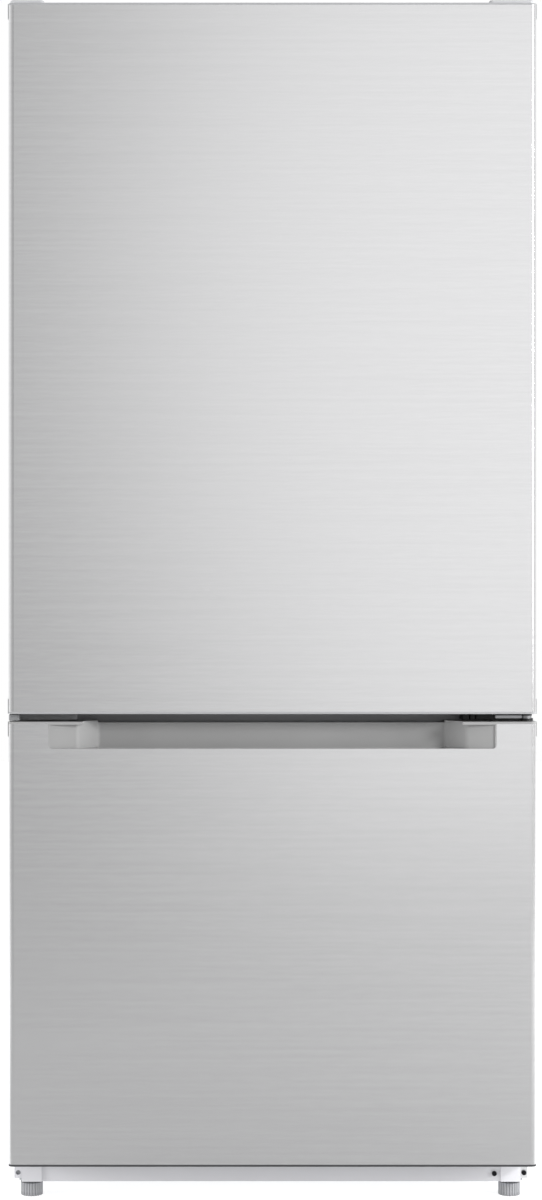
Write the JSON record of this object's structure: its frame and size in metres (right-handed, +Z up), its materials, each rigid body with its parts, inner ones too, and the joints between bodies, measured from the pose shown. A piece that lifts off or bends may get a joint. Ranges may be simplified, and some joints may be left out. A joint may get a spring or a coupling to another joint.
{
  "type": "bottom freezer refrigerator",
  "caption": "Free-standing bottom freezer refrigerator with stainless doors hinged at the right, pocket handle, levelling feet and pull-out drawers inside.",
  "frame": {"origin": "on the floor, under the middle of the whole body with its doors closed", "axes": "+Z up, -Y out of the door fronts, +X to the hinge side, which is the right as seen from the front"},
  "size_m": [0.752, 0.775, 1.7238],
  "materials": {
    "cabinet_paint": "satin",
    "galvanised": "matte",
    "foam": "matte",
    "white_plastic": "satin",
    "grey_plastic": "satin",
    "rail_paint": "satin",
    "toe_rail_paint": "satin",
    "light_plastic": "satin",
    "handle_plastic": "satin",
    "dark_plastic": "satin",
    "hinge_steel": "satin",
    "black_plastic": "matte",
    "screw_steel": "satin",
    "clear_glass": "gloss",
    "frosted_plastic": "satin",
    "compressor_black": "satin",
    "coil_aluminium": "satin",
    "stainless": "brushed",
    "seal_rubber": "matte",
    "clear_plastic": "gloss",
    "foot_plastic": "matte",
    "nylon": "matte",
    "drawer_plastic": "satin"
  },
  "bodies": {
    "cabinet": {"left_side_panel": "cabinet_paint", "right_side_panel": "cabinet_paint", "top_panel": "cabinet_paint", "back_panel": "galvanised", "bottom_panel": "galvanised", "machine_plate": "galvanised", "rear_cover": "galvanised", "condenser_fan_bracket": "galvanised", "foam_insulation": "foam", "fridge_liner": "white_plastic", "freezer_liner": "white_plastic", "shelf_rails": "white_plastic", "air_duct": "white_plastic", "control_housing": "white_plastic", "evaporator_cover": "white_plastic", "drawer_runners": "white_plastic", "shelf_frames": "white_plastic", "crisper_frame": "white_plastic", "toe_rail": "toe_rail_paint", "top_hinge_cover": "light_plastic", "top_left_cap": "light_plastic", "gap_plug": "grey_plastic", "center_rail": "rail_paint", "top_hinge": "hinge_steel", "middle_hinge": "hinge_steel", "bottom_hinge": "hinge_steel", "middle_hinge_cover": "black_plastic", "drain_pan": "black_plastic", "hinge_screws": "screw_steel", "shelf_glass": "clear_glass", "light_lens": "frosted_plastic", "compressor": "compressor_black", "condenser_coil": "compressor_black", "evaporator_coil": "coil_aluminium"},
    "fridge_door": {"fridge_door_skin": "stainless", "fridge_door_bottom_cap": "grey_plastic", "fridge_door_inner_panel": "white_plastic", "fridge_door_gasket": "seal_rubber", "fridge_door_bins": "clear_plastic", "fridge_door_top_cap": "grey_plastic"},
    "freezer_door": {"freezer_door_skin": "stainless", "freezer_door_bottom_cap": "dark_plastic", "freezer_door_inner_panel": "white_plastic", "freezer_door_gasket": "seal_rubber", "freezer_door_bins": "clear_plastic", "handle_moulding": "handle_plastic"},
    "left_crisper": {"left_crisper_drawer": "clear_plastic"},
    "left_slider": {"left_humidity_slider": "grey_plastic"},
    "left_foot": {"left_levelling_foot": "foot_plastic"},
    "left_roller": {"left_rear_roller": "nylon"},
    "right_crisper": {"right_crisper_drawer": "clear_plastic"},
    "right_slider": {"right_humidity_slider": "grey_plastic"},
    "right_foot": {"right_levelling_foot": "foot_plastic"},
    "right_roller": {"right_rear_roller": "nylon"},
    "bottom_freezer_drawer": {"freezer_drawer_bottom": "drawer_plastic"},
    "middle_freezer_drawer": {"freezer_drawer_middle": "drawer_plastic"},
    "top_freezer_drawer": {"freezer_drawer_top": "drawer_plastic"},
    "temperature_knob": {"temperature_knob": "grey_plastic"},
    "evaporator_fan": {"evaporator_fan": "black_plastic"},
    "condenser_fan": {"condenser_fan": "black_plastic"}
  },
  "joints": [
    {"name": "fridge_door_hinge", "type": "hinge", "parent": "cabinet", "child": "fridge_door", "pos_m": [0.365, -0.3545, 0.7043], "axis": [0, 0, 1], "range_deg": [0, 130]},
    {"name": "freezer_door_hinge", "type": "hinge", "parent": "cabinet", "child": "freezer_door", "pos_m": [0.365, -0.3545, 0.062], "axis": [0, 0, 1], "range_deg": [0, 130]},
    {"name": "left_crisper_slide", "type": "slide", "parent": "cabinet", "child": "left_crisper", "axis": [0, -1, 0], "range_m": [0, 0.2555]},
    {"name": "right_crisper_slide", "type": "slide", "parent": "cabinet", "child": "right_crisper", "axis": [0, -1, 0], "range_m": [0, 0.2555]},
    {"name": "bottom_freezer_drawer_slide", "type": "slide", "parent": "cabinet", "child": "bottom_freezer_drawer", "axis": [0, -1, 0], "range_m": [0, 0.2555]},
    {"name": "middle_freezer_drawer_slide", "type": "slide", "parent": "cabinet", "child": "middle_freezer_drawer", "axis": [0, -1, 0], "range_m": [0, 0.2555]},
    {"name": "top_freezer_drawer_slide", "type": "slide", "parent": "cabinet", "child": "top_freezer_drawer", "axis": [0, -1, 0], "range_m": [0, 0.2555]},
    {"name": "left_humidity_slide", "type": "slide", "parent": "cabinet", "child": "left_slider", "axis": [1, 0, 0], "range_m": [-0.03, 0.03]},
    {"name": "left_foot_screw", "type": "slide", "parent": "cabinet", "child": "left_foot", "axis": [0, 0, -1], "range_m": [0, 0.012]},
    {"name": "right_humidity_slide", "type": "slide", "parent": "cabinet", "child": "right_slider", "axis": [1, 0, 0], "range_m": [-0.03, 0.03]},
    {"name": "right_foot_screw", "type": "slide", "parent": "cabinet", "child": "right_foot", "axis": [0, 0, -1], "range_m": [0, 0.012]},
    {"name": "left_roller_spin", "type": "hinge", "parent": "cabinet", "child": "left_roller", "pos_m": [-0.32, 0.3275, 0.02], "axis": [1, 0, 0], "continuous": true},
    {"name": "right_roller_spin", "type": "hinge", "parent": "cabinet", "child": "right_roller", "pos_m": [0.32, 0.3275, 0.02], "axis": [1, 0, 0], "continuous": true},
    {"name": "temperature_knob_turn", "type": "hinge", "parent": "cabinet", "child": "temperature_knob", "pos_m": [0, -0.1815, 1.6388], "axis": [0, -1, 0], "range_deg": [-135, 135]},
    {"name": "evaporator_fan_spin", "type": "hinge", "parent": "cabinet", "child": "evaporator_fan", "pos_m": [0, 0.27, 0.59465], "axis": [0, 1, 0], "continuous": true},
    {"name": "condenser_fan_spin", "type": "hinge", "parent": "cabinet", "child": "condenser_fan", "pos_m": [0.04, 0.28, 0.1066], "axis": [1, 0, 0], "continuous": true}
  ],
  "couplings": [
    {"joint": "left_crisper_slide", "follows": "fridge_door_hinge", "m_per_rad": 0.11239},
    {"joint": "right_crisper_slide", "follows": "fridge_door_hinge", "m_per_rad": 0.11239},
    {"joint": "bottom_freezer_drawer_slide", "follows": "freezer_door_hinge", "m_per_rad": 0.11239},
    {"joint": "middle_freezer_drawer_slide", "follows": "freezer_door_hinge", "m_per_rad": 0.11239},
    {"joint": "top_freezer_drawer_slide", "follows": "freezer_door_hinge", "m_per_rad": 0.11239}
  ]
}
